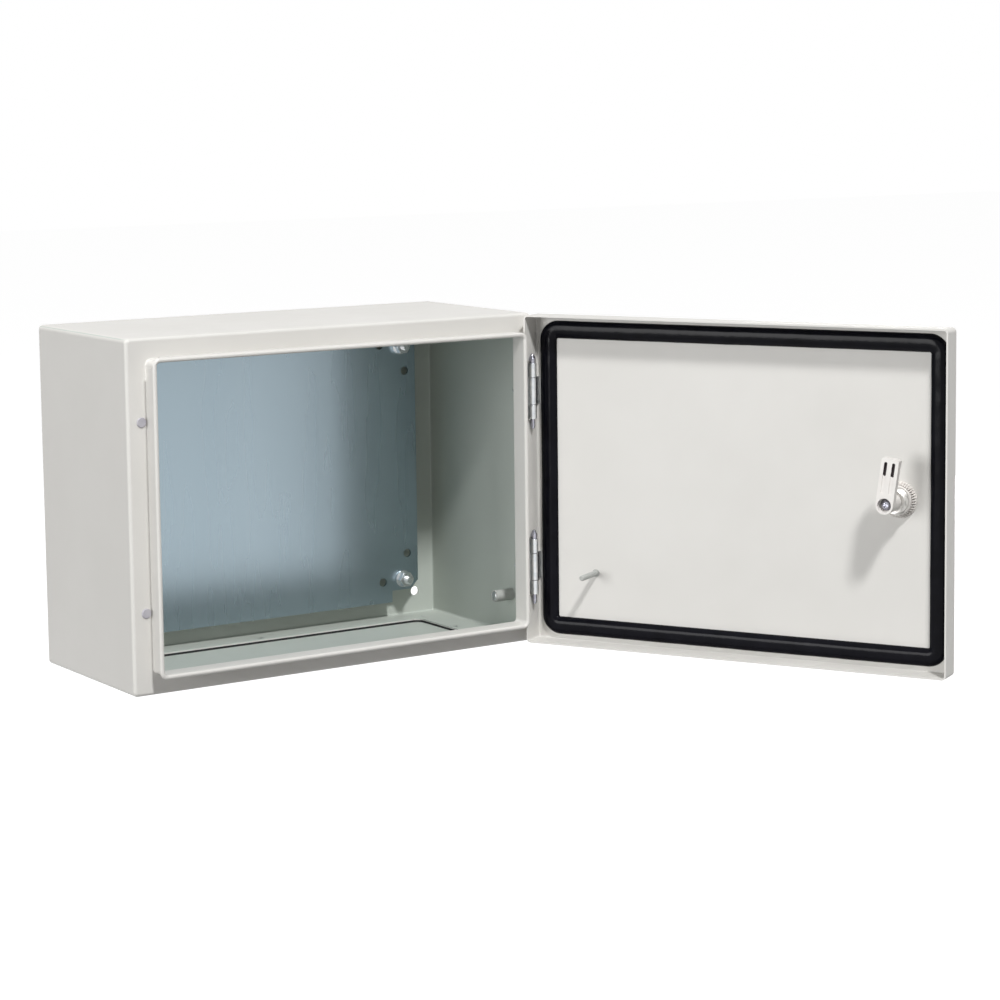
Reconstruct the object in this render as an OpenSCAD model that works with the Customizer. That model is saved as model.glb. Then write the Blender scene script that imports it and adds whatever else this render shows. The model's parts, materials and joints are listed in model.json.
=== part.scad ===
// Wall enclosure of folded sheet steel, with a hinged door, a quarter-turn lock and a
// mounting plate. Millimetres. X runs right as seen from the front, Y into the wall,
// Z up. The origin is the middle of the rear face, which lies against the wall.
// The door is drawn shut and then swung open about its hinge pins by door_angle.

/* [Cabinet] */
// Outside width
width = 400; // [320:10:600]
// Outside height
height = 300; // [280:10:600]
// Overall depth with the door shut, without the lock
depth = 200; // [160:10:300]
// Thickness of the steel sheet
sheet = 1.5; // [1.2:0.1:1.8]
// Outside radius of the folds in the sheet
bend_r = 3; // [2.5:0.5:3.5]
// How much rounder the four long edges are than the folds
edge_extra_r = 1; // [1:0.5:3]
// Width of the flange folded in at the back
rear_flange = 12; // [10:1:15]

/* [Gutter round the opening] */
// From the cabinet's side to the outside of the gutter
gutter_inset = 15.7; // [15.2:0.1:16.2]
// How far the gutter stands in front of the flange
gutter_h = 19; // [16:0.5:20]
// Width of the folded crest
hem_w = 4; // [3.8:0.1:4.4]
// Length of the outer leg that hangs from the crest
hem_leg = 8.7; // [6:0.1:9]
// Outside radius of the gutter's corners
gutter_r = 7; // [6:0.5:10]
// Radius of the fold between flange and gutter
root_r = 1; // [0.6:0.1:1]

/* [Wall holes] */
// From the cabinet's side to the hole
wall_hole_inset = 22; // [21.5:0.5:24]
// From the cabinet's top or bottom to the hole
wall_hole_drop = 22.5; // [22:0.5:24]
// Radius of the hole
wall_hole_r = 4.25; // [3:0.25:4.5]

/* [Mounting plate] */
// From the cabinet's side to the plate
plate_side = 27.5; // [26:0.5:32]
// From the cabinet's top or bottom to the plate
plate_end = 17.5; // [15:0.5:20]
// Plate thickness
plate_t = 2; // [1.5:0.5:3]
// From the back of the rear panel to the back of the plate
plate_standoff = 15; // [12:1:25]
// Width of each corner notch
notch_w = 28.5; // [27:0.5:32]
// Height of each corner notch
notch_h = 11; // [8:0.5:12]
// Size of the slanted corner cut
tab_cut = 8; // [4:0.5:9]
// Radius of the spare holes
plate_hole_r = 4; // [3:0.25:4.5]

/* [Plate studs] */
// From the cabinet's side to a stud
stud_inset = 44; // [43:0.5:46]
// From the cabinet's top or bottom to a stud
stud_drop = 39; // [38:0.5:42]
// Radius of the thread
stud_r = 4; // [3:0.5:4]
// Radius of the collar that the plate rests on
collar_r = 7; // [6:0.5:8]
// How far the thread stands beyond the nut
stud_beyond = 5.5; // [2:0.5:8]
// Nut, across its flats
nut_flats = 13; // [12:0.5:14]
// Nut height
nut_h = 6.5; // [5:0.5:7]
// Washer radius
washer_r = 8; // [7:0.5:8.5]
// Washer thickness
washer_t = 1.6; // [1:0.2:2]

/* [Gland opening] */
// From the cabinet's side to the opening in the floor
gland_side = 33; // [30:1:40]
// From the rear face to the opening
gland_rear = 28; // [28:1:34]
// From the front flange to the opening
gland_front = 36; // [32:1:42]
// Radius of the opening's corners
gland_r = 8; // [5:1:12]
// How far the plate laps past the opening
gland_lap = 12; // [11:0.5:14]
// Thickness of the flat seal
gland_seal_t = 2; // [1.5:0.5:3]
// Thickness of the gland plate
gland_plate_t = 1.5; // [1.5:0.5:3]

/* [Hinges] */
// From the cabinet's top or bottom to the middle of a hinge
hinge_drop = 70; // [60:1:80]
// From the cabinet's side to the pin
pin_side = 5.5; // [5.5:0.1:5.6]
// From the front flange forward to the pin
pin_out = 10; // [10:0.1:10.4]
// Pin radius
pin_r = 2; // [1.8:0.1:2.1]
// Radius of a knuckle
knuckle_r = 3.6; // [3:0.1:3.7]
// Half the length of the door's knuckle
mid_half = 12; // [10:0.5:13]
// Length of each of the body's knuckles
end_knuckle = 12.5; // [10:0.5:14]
// Thickness of the hinge plates
leaf_t = 2.5; // [2:0.1:2.5]
// Radius of the screw thread
hinge_screw_r = 2.5; // [2:0.25:2.5]

/* [Door] */
// Depth of the door tray
door_t = 24; // [24:0.5:26]
// Gap between the shut door and the body
door_gap = 2; // [1.8:0.1:2.2]
// How much the door falls short of the body on each side
door_inset = 1; // [0.9:0.1:1.2]
// How far the door stands open
door_angle = 119; // [60:1:130]
// Length of the earth stud on the door
door_stud_len = 30; // [20:1:32]
// Radius of the earth stud on the door
door_stud_r = 2.5; // [2:0.5:3]

/* [Door seal] */
// From the cabinet's side to the bead
seal_inset = 7; // [6.5:0.5:7.5]
// Width of the bead
seal_w = 15.3; // [13.5:0.1:16]
// Radius of the bead's outer corners
seal_r = 17.5; // [16:0.5:24]
// Gap between the bead and the gutter when shut
seal_gap = 0.3; // [0.3:0.1:1]

/* [Lock] */
// From the cabinet's side to the lock's axis
lock_inset = 51; // [48:0.5:54]
// Radius of the threaded barrel
barrel_r = 11; // [10:0.5:12]
// Length of the barrel inside the door
barrel_len = 16.5; // [15:0.5:17]
// Radius of the outer collar
collar_face_r = 15; // [14:0.5:18]
// Radius of the toothed nut
lock_nut_r = 16; // [15:0.5:18]
// Thickness of the nut's toothed rim
lock_nut_t = 6.5; // [5:0.5:8]
// Teeth round the nut
lock_teeth = 40; // [24:4:48]
// Radius of the turning spindle
spindle_r = 6.45; // [5.8:0.05:6.6]
// Play between the spindle and its bore
spindle_play = 0.05; // [0.02:0.01:0.1]
// Length of the tongue from the lock's axis
tongue_len = 40.5; // [38:0.5:42]
// Width of the tongue
tongue_w = 15.5; // [15:0.5:17]
// Thickness of the tongue
tongue_t = 6; // [5.5:0.5:6.5]
// From the door's outer face to the free face of the tongue
tongue_out = 40; // [39:0.5:41]
// How far the tongue leans from upright
tongue_lean = 8; // [0:1:10]

/* [Earth stud on the body] */
// Height above the outside of the floor
body_stud_z = 38; // [30:1:60]
// From the rear face
body_stud_y = 141; // [120:1:142]
// Length inside the wall
body_stud_len = 20.5; // [15:0.5:22]
// Radius
body_stud_r = 4; // [3:0.5:4]

/* [Hidden] */
$fn = 64;
eps = 0.01;
edge_r = bend_r + edge_extra_r;
body_d = depth - door_t - door_gap;
front_y = -body_d;
crest_y = front_y - gutter_h;
half_w = width / 2;
half_h = height / 2;
// The gutter's wall stands under the inner half of the hem.
wall_inset = gutter_inset + hem_w - sheet;
root_inset = wall_inset - root_r;
mouth_inset = gutter_inset + hem_w;
// Door planes.
edge_y = front_y - door_gap;
face_y = edge_y - door_t;
inner_y = face_y + sheet;
// Hinge.
axis_x = half_w - pin_side;
axis_y = front_y - pin_out;
hinge_z = half_h - hinge_drop;
knuckle_gap = 0.6;
hinge_half = mid_half + knuckle_gap + end_knuckle;
notch_half = hinge_half + 2;
notch_deep = 12;
foot_in = root_inset - 0.2;
foot_out = pin_side - 0.4;
pin_play = 0.06;
hinge_screw_inset = 12.9;
// Lock.
lock_x = -(half_w - lock_inset);
seal_ring_t = 0.8;
collar_face_t = 3;
barrel_end_y = inner_y + barrel_len;
bore_r = spindle_r + spindle_play;
tongue_y = face_y + tongue_out;
tongue_back_y = tongue_y - tongue_t;
hook_y = front_y + sheet + 0.9;
boss_r = tongue_w / 2;
boss_y = barrel_end_y + 0.5;
square_side = 8;
screw_pocket_r = 6.1;
screw_pocket_d = 6;
lock_screw_r = 2.5;
lock_screw_head_r = 5.3;
lock_screw_head_h = 3.4;
// Mounting plate.
panel_y = -sheet;
plate_back_y = -plate_standoff;
plate_front_y = plate_back_y - plate_t;
stud_x = half_w - stud_inset;
stud_z = half_h - stud_drop;
nut_back_y = plate_front_y - washer_t;
nut_front_y = nut_back_y - nut_h;
stud_tip_y = nut_front_y - stud_beyond;
hole_side_x = stud_x + 5;
hole_side_z = stud_z - 24;
hole_end_x = stud_x - 22;
hole_end_z = stud_z + 1.5;
wall_x = half_w - wall_hole_inset;
wall_z = half_h - wall_hole_drop;
// Gland plate.
gland_w = width - 2 * gland_side;
gland_y0 = front_y + gland_front;
gland_y1 = -gland_rear;
gland_screw_r = 2.5;

// Rounded rectangle centred on the origin.
module round_rect(w, h, r) {
    square([w - 2 * r, h], center = true);
    square([w, h - 2 * r], center = true);
    for (sx = [-1, 1])
        for (sy = [-1, 1])
            translate([sx * (w / 2 - r), sy * (h / 2 - r)])
                circle(r);
}

// Rounded rectangle facing along Y, from the plane y0 back to the plane y1.
module slab_y(w, h, r, y0, y1) {
    translate([0, y1, 0])
        rotate([90, 0, 0])
            linear_extrude(y1 - y0)
                round_rect(w, h, r);
}

// Round bar along Y at x, z, from the plane y0 back to the plane y1.
module rod_y(x, z, r, y0, y1) {
    translate([x, y1, z])
        rotate([90, 0, 0])
            cylinder(r = r, h = y1 - y0);
}

// Carries a flat profile once round a rounded rectangle of w by h that faces along Y.
// The profile's x is measured outwards from the rectangle and its y is the model's Y.
module sweep_round(w, h, r) {
    for (side = [0, 1])
        mirror([side, 0, 0])
            translate([w / 2, 0, -(h / 2 - r)])
                linear_extrude(h - 2 * r)
                    children();
    for (side = [0, 1])
        mirror([0, 0, side])
            rotate([0, -90, 0])
                translate([h / 2, 0, -(w / 2 - r)])
                    linear_extrude(w - 2 * r)
                        children();
    for (sx = [0, 1])
        for (sz = [0, 1])
            mirror([sx, 0, 0])
                mirror([0, 0, sz])
                    translate([w / 2 - r, 0, -(h / 2 - r)])
                        rotate([-90, 0, 0])
                            rotate_extrude(angle = 90)
                                translate([r, 0])
                                    children();
}

// A quarter of a ring for a folded edge: centre at x, y, opening towards sx, sy.
module fold(x, y, outer, inner, sx, sy) {
    translate([x, y])
        intersection() {
            difference() {
                circle(outer);
                circle(inner);
            }
            translate([min(sx * outer, 0), min(sy * outer, 0)])
                square([outer, outer]);
        }
}

// Swings what is drawn with the door shut to the angle that the door stands at.
module on_door() {
    translate([axis_x, axis_y, 0])
        rotate([0, 0, door_angle])
            translate([-axis_x, -axis_y, 0])
                children();
}

// Puts a piece on the lock's axis and leans it as the tongue leans.
module on_lock() {
    on_door()
        translate([lock_x, 0, 0])
            rotate([0, -tongue_lean, 0])
                children();
}

// Wall of the cabinet with its front and rear folds.
module shell_profile() {
    translate([-sheet, front_y + bend_r])
        square([sheet, body_d - 2 * bend_r]);
    fold(-bend_r, front_y + bend_r, bend_r, bend_r - sheet, 1, -1);
    fold(-bend_r, -bend_r, bend_r, bend_r - sheet, 1, 1);
}

// Gutter: root fold, wall and the round crest of the hem.
module gutter_profile() {
    crest_c = crest_y + hem_w / 2;
    root_c = front_y - root_r;
    fold(-(root_inset - gutter_inset), root_c, root_r + sheet, root_r, -1, 1);
    translate([-hem_w, crest_c])
        square([sheet, root_c - crest_c]);
    translate([-hem_w / 2, crest_c])
        intersection() {
            difference() {
                circle(hem_w / 2);
                circle(hem_w / 2 - sheet);
            }
            translate([-hem_w / 2, -hem_w / 2])
                square([hem_w, hem_w / 2]);
        }
}

// One straight outer leg of the hem, hanging from the crest along a side of length l.
module hem_leg_bar(l) {
    crest_c = crest_y + hem_w / 2;
    translate([-sheet, crest_c, -l / 2])
        cube([sheet, hem_leg - hem_w / 2, l]);
}

module body_shell() {
    gw = width - 2 * gutter_inset;
    gh = height - 2 * gutter_inset;
    leg_cut = 1.5;
    color([0.86, 0.86, 0.84]) {
        difference() {
            union() {
                sweep_round(width, height, edge_r)
                    shell_profile();
                difference() {
                    slab_y(width - 2 * bend_r, height - 2 * bend_r, edge_extra_r,
                        front_y, front_y + sheet);
                    slab_y(width - 2 * root_inset, height - 2 * root_inset,
                        gutter_r - (root_inset - gutter_inset),
                        front_y - 1, front_y + sheet + 1);
                }
                difference() {
                    slab_y(width - 2 * bend_r, height - 2 * bend_r, edge_extra_r,
                        -sheet, 0);
                    slab_y(width - 2 * rear_flange, height - 2 * rear_flange, 4,
                        -sheet - 1, 1);
                }
                sweep_round(gw, gh, gutter_r)
                    gutter_profile();
                for (side = [0, 1])
                    mirror([side, 0, 0])
                        translate([gw / 2, 0, 0])
                            hem_leg_bar(gh - 2 * gutter_r - 2 * leg_cut);
                for (side = [0, 1])
                    mirror([0, 0, side])
                        rotate([0, -90, 0])
                            translate([gh / 2, 0, 0])
                                hem_leg_bar(gw - 2 * gutter_r - 2 * leg_cut);
            }
            // Opening in the floor.
            translate([0, (gland_y0 + gland_y1) / 2, -half_h - 1])
                linear_extrude(sheet + 2)
                    round_rect(gland_w, gland_y1 - gland_y0, gland_r);
            for (p = gland_points())
                translate([p[0], p[1], -half_h - 1])
                    cylinder(r = gland_screw_r, h = sheet + 2);
            // Hinge holes, used on the right and plugged on the left.
            for (sx = [-1, 1])
                for (sz = [-1, 1])
                    rod_y(sx * (half_w - hinge_screw_inset), sz * hinge_z,
                        hinge_screw_r + 0.3, front_y - 1, front_y + sheet + 1);
        }
    }
}

// Where the gland plate's screws sit, on the line midway across its lap.
function gland_points() =
    let (
        x = gland_w / 2 + gland_lap / 2,
        y0 = gland_y0 - gland_lap / 2,
        y1 = gland_y1 + gland_lap / 2,
        ym = (y0 + y1) / 2
    )
    [[-x, y0], [0, y0], [x, y0], [-x, ym], [x, ym], [-x, y1], [0, y1], [x, y1]];

module rear_panel() {
    color([0.82, 0.83, 0.80])
        difference() {
            slab_y(width - 2 * rear_flange, height - 2 * rear_flange, 4, -sheet, 0);
            for (sx = [-1, 1])
                for (sz = [-1, 1])
                    rod_y(sx * wall_x, sz * wall_z, wall_hole_r, -sheet - 1, 1);
        }
}

// Flat piece below the floor that laps past the opening.
module gland_sheet(z, t) {
    translate([0, (gland_y0 + gland_y1) / 2, z])
        linear_extrude(t)
            round_rect(gland_w + 2 * gland_lap, gland_y1 - gland_y0 + 2 * gland_lap, gland_r);
}

module gland_seal() {
    color([0.08, 0.08, 0.09])
        difference() {
            gland_sheet(-half_h - gland_seal_t, gland_seal_t);
            translate([0, (gland_y0 + gland_y1) / 2, -half_h - gland_seal_t - 1])
                linear_extrude(gland_seal_t + 2)
                    round_rect(gland_w, gland_y1 - gland_y0, gland_r);
            for (p = gland_points())
                translate([p[0], p[1], -half_h - gland_seal_t - 1])
                    cylinder(r = gland_screw_r, h = gland_seal_t + 2);
        }
}

module gland_plate() {
    z = -half_h - gland_seal_t - gland_plate_t;
    color([0.86, 0.86, 0.84])
        difference() {
            gland_sheet(z, gland_plate_t);
            for (p = gland_points())
                translate([p[0], p[1], z - 1])
                    cylinder(r = gland_screw_r, h = gland_plate_t + 2);
        }
}

module gland_screws() {
    z = -half_h - gland_seal_t - gland_plate_t;
    head_h = 2.2;
    color([0.75, 0.76, 0.78])
        for (p = gland_points())
            translate([p[0], p[1], z]) {
                translate([0, 0, -head_h])
                    cylinder(r = 4.6, h = head_h, $fn = 6);
                cylinder(r = gland_screw_r, h = gland_plate_t + gland_seal_t + sheet);
            }
}

// The four corners that carry the mounting plate.
module at_studs() {
    for (sx = [-1, 1])
        for (sz = [-1, 1])
            translate([sx * stud_x, 0, sz * stud_z])
                children();
}

module plate_studs() {
    tip = 1;
    color([0.75, 0.76, 0.78])
        at_studs() {
            rod_y(0, 0, collar_r, plate_back_y, panel_y);
            rod_y(0, 0, stud_r, stud_tip_y + tip, panel_y);
            translate([0, stud_tip_y + tip, 0])
                rotate([90, 0, 0])
                    cylinder(r1 = stud_r, r2 = stud_r - tip * 0.8, h = tip);
        }
}

module mounting_plate() {
    pw = width - 2 * plate_side;
    ph = height - 2 * plate_end;
    color([0.62, 0.68, 0.72])
        difference() {
            translate([0, plate_back_y, 0])
                rotate([90, 0, 0])
                    linear_extrude(plate_t)
                        polygon([
                            [-pw / 2 + notch_w, -ph / 2], [pw / 2 - notch_w, -ph / 2],
                            [pw / 2 - notch_w, -ph / 2 + notch_h],
                            [pw / 2 - tab_cut, -ph / 2 + notch_h],
                            [pw / 2, -ph / 2 + notch_h + tab_cut],
                            [pw / 2, ph / 2 - notch_h - tab_cut],
                            [pw / 2 - tab_cut, ph / 2 - notch_h],
                            [pw / 2 - notch_w, ph / 2 - notch_h],
                            [pw / 2 - notch_w, ph / 2], [-pw / 2 + notch_w, ph / 2],
                            [-pw / 2 + notch_w, ph / 2 - notch_h],
                            [-pw / 2 + tab_cut, ph / 2 - notch_h],
                            [-pw / 2, ph / 2 - notch_h - tab_cut],
                            [-pw / 2, -ph / 2 + notch_h + tab_cut],
                            [-pw / 2 + tab_cut, -ph / 2 + notch_h],
                            [-pw / 2 + notch_w, -ph / 2 + notch_h],
                        ]);
            at_studs()
                rod_y(0, 0, stud_r + 0.2, plate_front_y - 1, plate_back_y + 1);
            for (sx = [-1, 1])
                for (sz = [-1, 1]) {
                    rod_y(sx * hole_side_x, sz * hole_side_z, plate_hole_r,
                        plate_front_y - 1, plate_back_y + 1);
                    rod_y(sx * hole_end_x, sz * hole_end_z, plate_hole_r,
                        plate_front_y - 1, plate_back_y + 1);
                }
        }
}

module plate_washers() {
    color([0.78, 0.79, 0.80])
        at_studs()
            difference() {
                rod_y(0, 0, washer_r, nut_back_y, plate_front_y);
                rod_y(0, 0, stud_r + 0.2, nut_back_y - 1, plate_front_y + 1);
            }
}

module plate_nuts() {
    cham = 0.7;
    corner_r = nut_flats / 2 / cos(30);
    color([0.78, 0.79, 0.80])
        at_studs()
            difference() {
                intersection() {
                    translate([0, nut_back_y, 0])
                        rotate([90, 0, 0])
                            cylinder(r = corner_r, h = nut_h, $fn = 6);
                    union() {
                        rod_y(0, 0, corner_r + 1, nut_front_y + cham, nut_back_y);
                        translate([0, nut_front_y + cham, 0])
                            rotate([90, 0, 0])
                                cylinder(r1 = corner_r + 0.3, r2 = corner_r - 1, h = cham);
                    }
                }
                rod_y(0, 0, stud_r, nut_front_y - 1, nut_back_y + 1);
            }
}

module body_earth_stud() {
    z = -half_h + body_stud_z;
    tip = 0.8;
    foot_t = 1;
    color([0.75, 0.76, 0.78])
        translate([half_w - sheet, -body_stud_y, z])
            rotate([0, -90, 0]) {
                cylinder(r = body_stud_r + 1, h = foot_t);
                cylinder(r = body_stud_r, h = body_stud_len - tip);
                translate([0, 0, body_stud_len - tip])
                    cylinder(r1 = body_stud_r, r2 = body_stud_r - tip * 0.8, h = tip);
            }
}

module flange_plugs() {
    rim = 0.5;
    color([0.72, 0.71, 0.74])
        for (sz = [-1, 1])
            translate([-(half_w - hinge_screw_inset), 0, sz * hinge_z]) {
                rod_y(0, 0, 4.25, front_y - 0.7, front_y);
                translate([0, front_y - 0.7, 0])
                    rotate([90, 0, 0])
                        cylinder(r1 = 4.25, r2 = 4.25 - rim, h = rim);
                rod_y(0, 0, hinge_screw_r + 0.3, front_y, front_y + sheet);
                translate([0, front_y + sheet, 0])
                    rotate([-90, 0, 0])
                        cylinder(r1 = hinge_screw_r + 0.7, r2 = hinge_screw_r - 0.5, h = 3);
            }
}

// Body half of a hinge: a screwed foot with a strap and a knuckle at each end.
module hinge_bracket(zc) {
    foot_w = foot_in - foot_out;
    strap_x = axis_x - knuckle_r;
    color([0.80, 0.81, 0.83])
        translate([0, 0, zc])
            difference() {
                union() {
                    translate([half_w - foot_in, front_y - leaf_t, -hinge_half])
                        cube([foot_w, leaf_t, 2 * hinge_half]);
                    for (s = [0, 1])
                        mirror([0, 0, s])
                            translate([0, 0, mid_half + knuckle_gap]) {
                                translate([strap_x, axis_y, 0])
                                    cube([leaf_t, pin_out - leaf_t, end_knuckle]);
                                translate([axis_x, axis_y, 0])
                                    cylinder(r = knuckle_r, h = end_knuckle);
                            }
                }
                translate([axis_x, axis_y, -hinge_half - 1])
                    cylinder(r = pin_r, h = 2 * hinge_half + 2);
                rod_y(half_w - hinge_screw_inset, 0, hinge_screw_r + 0.2,
                    front_y - leaf_t - 1, front_y + 1);
            }
}

module hinge_bracket_upper() {
    hinge_bracket(hinge_z);
}

module hinge_bracket_lower() {
    hinge_bracket(-hinge_z);
}

module hinge_screws() {
    head_r = 4;
    head_h = 2.4;
    y = front_y - leaf_t;
    color([0.78, 0.79, 0.80])
        for (sz = [-1, 1])
            translate([half_w - hinge_screw_inset, 0, sz * hinge_z])
                difference() {
                    union() {
                        rod_y(0, 0, head_r, y - head_h, y);
                        rod_y(0, 0, hinge_screw_r, y, front_y + sheet + 6);
                    }
                    translate([-0.6, y - head_h - 1, -2.6])
                        cube([1.2, 2.4, 5.2]);
                    translate([-2.6, y - head_h - 1, -0.6])
                        cube([5.2, 2.4, 1.2]);
                }
}

module hinge_nuts() {
    y = front_y + sheet;
    color([0.78, 0.79, 0.80])
        for (sz = [-1, 1])
            translate([half_w - hinge_screw_inset, 0, sz * hinge_z])
                difference() {
                    translate([0, y + 4, 0])
                        rotate([90, 0, 0])
                            cylinder(r = 4.4, h = 4, $fn = 6);
                    rod_y(0, 0, hinge_screw_r, y - 1, y + 5);
                }
}

// Headed pin that stays in the body's knuckles while the door's knuckle turns on it.
module hinge_pin(zc) {
    head_r = 2.9;
    tail = 9;
    color([0.84, 0.85, 0.87])
        translate([axis_x, axis_y, zc]) {
            translate([0, 0, -hinge_half - tail + 2])
                cylinder(r = pin_r, h = 2 * hinge_half + tail - 2);
            translate([0, 0, -hinge_half - tail])
                cylinder(r1 = pin_r - 0.8, r2 = pin_r, h = 2);
            translate([0, 0, hinge_half])
                cylinder(r = head_r, h = 4.4);
            translate([0, 0, hinge_half + 4.4])
                cylinder(r1 = head_r, r2 = 1.8, h = 2.6);
            translate([0, 0, hinge_half + 7])
                intersection() {
                    sphere(1.8);
                    cylinder(r = 1.8, h = 1.8);
                }
        }
}

module hinge_pin_upper() {
    hinge_pin(hinge_z);
}

module hinge_pin_lower() {
    hinge_pin(-hinge_z);
}

// Wall of the door tray with the fold to its face.
module door_profile() {
    translate([-sheet, face_y + bend_r])
        square([sheet, door_t - bend_r]);
    fold(-bend_r, face_y + bend_r, bend_r, bend_r - sheet, 1, -1);
}

module door_panel() {
    dw = width - 2 * door_inset;
    dh = height - 2 * door_inset;
    color([0.88, 0.88, 0.86])
        on_door()
            difference() {
                union() {
                    sweep_round(dw, dh, edge_r)
                        door_profile();
                    slab_y(dw - 2 * bend_r, dh - 2 * bend_r, edge_extra_r, face_y, inner_y);
                }
                // Cut-outs that let the hinges through.
                for (sz = [-1, 1])
                    translate([dw / 2 - sheet - 1, edge_y - notch_deep, sz * hinge_z - notch_half])
                        cube([sheet + 2, notch_deep + 1, 2 * notch_half]);
                rod_y(lock_x, 0, barrel_r + 0.2, face_y - 1, inner_y + 1);
            }
}

module door_seal() {
    seal_h = crest_y - seal_gap - inner_y;
    top_r = 0.48 * seal_h;
    mid = seal_h - top_r;
    color([0.07, 0.07, 0.09])
        on_door()
            sweep_round(width - 2 * seal_inset, height - 2 * seal_inset, seal_r)
                translate([-seal_w, inner_y]) {
                    square([seal_w, mid]);
                    translate([top_r, 0])
                        square([seal_w - 2 * top_r, seal_h]);
                    translate([top_r, mid])
                        circle(top_r);
                    translate([seal_w - top_r, mid])
                        circle(top_r);
                }
}

// Door half of a hinge: a knuckle on a plate that is fixed inside the tray.
module hinge_leaf(zc) {
    leaf_x = half_w - door_inset - sheet - leaf_t;
    slot_w = 3;
    slot_h = 6;
    color([0.80, 0.81, 0.83])
        on_door()
            translate([0, 0, zc])
                difference() {
                    union() {
                        translate([axis_x, axis_y, -mid_half])
                            cylinder(r = knuckle_r, h = 2 * mid_half);
                        translate([leaf_x, inner_y, -mid_half])
                            cube([leaf_t, axis_y - inner_y, 2 * mid_half]);
                    }
                    translate([axis_x, axis_y, -mid_half - 1])
                        cylinder(r = pin_r + pin_play, h = 2 * mid_half + 2);
                    // The plate's foot clears the fold of the tray.
                    translate([half_w - door_inset - bend_r, inner_y - 1, -mid_half - 1])
                        cube([bend_r + 1, bend_r - sheet + 1, 2 * mid_half + 2]);
                    // The knuckle keeps clear of the tray's wall.
                    translate([half_w - door_inset - sheet, axis_y - knuckle_r - 1, -mid_half - 1])
                        cube([knuckle_r, 2 * knuckle_r + 2, 2 * mid_half + 2]);
                    translate([leaf_x - 1, axis_y - knuckle_r - slot_w - 1.5, -slot_h / 2])
                        cube([leaf_t + 2, slot_w, slot_h]);
                }
}

module hinge_leaf_upper() {
    hinge_leaf(hinge_z);
}

module hinge_leaf_lower() {
    hinge_leaf(-hinge_z);
}

module door_earth_stud() {
    tip = 0.6;
    x = half_w - 60.7;
    z = -half_h + 65.5;
    color([0.75, 0.76, 0.78])
        on_door()
            translate([x, inner_y, z])
                rotate([-90, 0, 0]) {
                    cylinder(r = door_stud_r + 1, h = 0.8);
                    cylinder(r = door_stud_r, h = door_stud_len - tip);
                    translate([0, 0, door_stud_len - tip])
                        cylinder(r1 = door_stud_r, r2 = door_stud_r - tip * 0.8, h = tip);
                }
}

// The lock's pieces are drawn round their own axis, along Y.
module lock_housing() {
    cham = 1;
    y0 = face_y - seal_ring_t - collar_face_t;
    color([0.30, 0.30, 0.32])
        on_door()
            translate([lock_x, 0, 0])
                difference() {
                    union() {
                        rod_y(0, 0, collar_face_r, y0 + cham, face_y - seal_ring_t);
                        translate([0, y0 + cham, 0])
                            rotate([90, 0, 0])
                                cylinder(r1 = collar_face_r, r2 = collar_face_r - cham, h = cham);
                        rod_y(0, 0, barrel_r, face_y - seal_ring_t, barrel_end_y - cham);
                        translate([0, barrel_end_y - cham, 0])
                            rotate([-90, 0, 0])
                                cylinder(r1 = barrel_r, r2 = barrel_r - cham, h = cham);
                    }
                    rod_y(0, 0, bore_r, y0 - 1, barrel_end_y + 1);
                    rod_y(0, 0, bore_r + 1, y0 - 1, y0 + 6);
                }
}

module lock_seal() {
    color([0.07, 0.07, 0.09])
        on_door()
            translate([lock_x, 0, 0])
                difference() {
                    rod_y(0, 0, collar_face_r - 1, face_y - seal_ring_t, face_y);
                    rod_y(0, 0, barrel_r, face_y - seal_ring_t - 1, face_y + 1);
                }
}

// Serrated nut: a flat foot, a sloping flank cut into wedges and a plain hub.
module lock_nut() {
    foot_t = 1.6;
    hub_r = barrel_r + 2;
    hub_t = 1.8;
    flank_y = inner_y + foot_t;
    rim_y = inner_y + lock_nut_t;
    tooth_w = 3.1416 * lock_nut_r / lock_teeth;
    color([0.86, 0.85, 0.83])
        on_door()
            translate([lock_x, 0, 0])
                difference() {
                    union() {
                        difference() {
                            union() {
                                rod_y(0, 0, lock_nut_r, inner_y, flank_y);
                                translate([0, flank_y, 0])
                                    rotate([-90, 0, 0])
                                        cylinder(r1 = lock_nut_r, r2 = hub_r + 0.8, h = rim_y - flank_y);
                            }
                            for (i = [0 : lock_teeth - 1])
                                rotate([0, i * 360 / lock_teeth, 0])
                                    translate([hub_r + 0.2, flank_y, -tooth_w / 2])
                                        cube([lock_nut_r, lock_nut_t, tooth_w]);
                        }
                        rod_y(0, 0, hub_r, flank_y, rim_y + hub_t - 0.6);
                        translate([0, rim_y + hub_t - 0.6, 0])
                            rotate([-90, 0, 0])
                                cylinder(r1 = hub_r, r2 = hub_r - 0.6, h = 0.6);
                    }
                    rod_y(0, 0, barrel_r, inner_y - 1, rim_y + hub_t + 1);
                }
}

module lock_spindle() {
    y0 = face_y - seal_ring_t - collar_face_t;
    color([0.72, 0.72, 0.70])
        on_lock()
            difference() {
                union() {
                    rod_y(0, 0, spindle_r + 1, y0 + 0.4, y0 + 5.9);
                    rod_y(0, 0, spindle_r, y0 + 5.9, boss_y);
                    translate([-square_side / 2, boss_y, -square_side / 2])
                        cube([square_side, tongue_y - screw_pocket_d - boss_y, square_side]);
                }
                // Key recess with a post that has two bits.
                difference() {
                    rod_y(0, 0, 5.2, y0 - 1, y0 + 9);
                    rod_y(0, 0, 2.3, y0, y0 + 10);
                    translate([-4.2, y0, -1.5])
                        cube([8.4, 10, 3]);
                }
                rod_y(0, 0, lock_screw_r, tongue_y - screw_pocket_d - 14, tongue_y);
            }
}

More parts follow.
